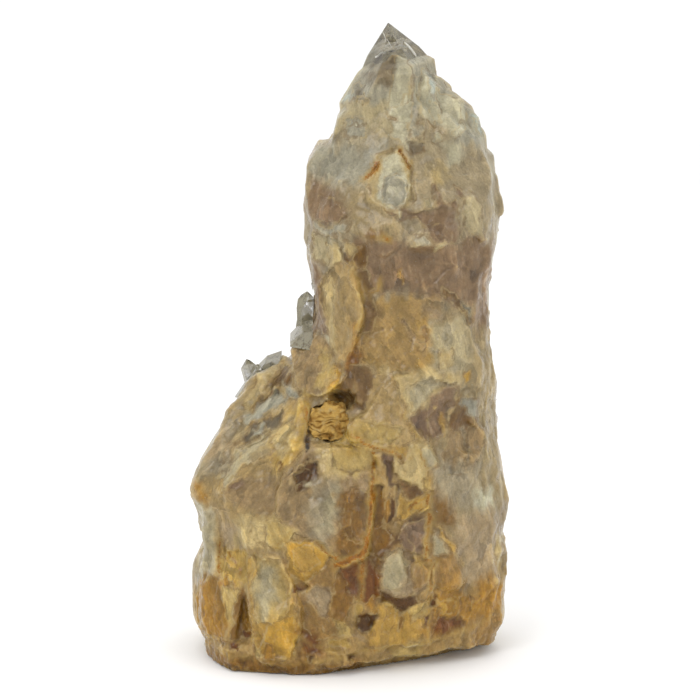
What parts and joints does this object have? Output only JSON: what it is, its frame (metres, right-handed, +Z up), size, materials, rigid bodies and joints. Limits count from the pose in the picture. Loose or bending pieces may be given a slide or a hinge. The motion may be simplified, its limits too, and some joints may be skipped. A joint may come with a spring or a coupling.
{
  "type": "citrine crystal cluster",
  "caption": "Standing cluster of milky smoky citrine: a main point over broken blocks and crystals grown together, cut flat at the foot, with limonite in a pocket.",
  "frame": {"origin": "centre of the bounding box's bottom, in the plane of the flat foot", "axes": "+Z up along the cluster, -Y towards the broken front that the picture shows, +X to its right"},
  "size_m": [0.0919, 0.0726, 0.18],
  "materials": {
    "milky_citrine": "glossy on crystal faces, dull on broken ones",
    "limonite": "matte and porous"
  },
  "bodies": {
    "root": {"quartz_cluster": "milky_citrine", "limonite_lump": "limonite"}
  },
  "joints": []
}
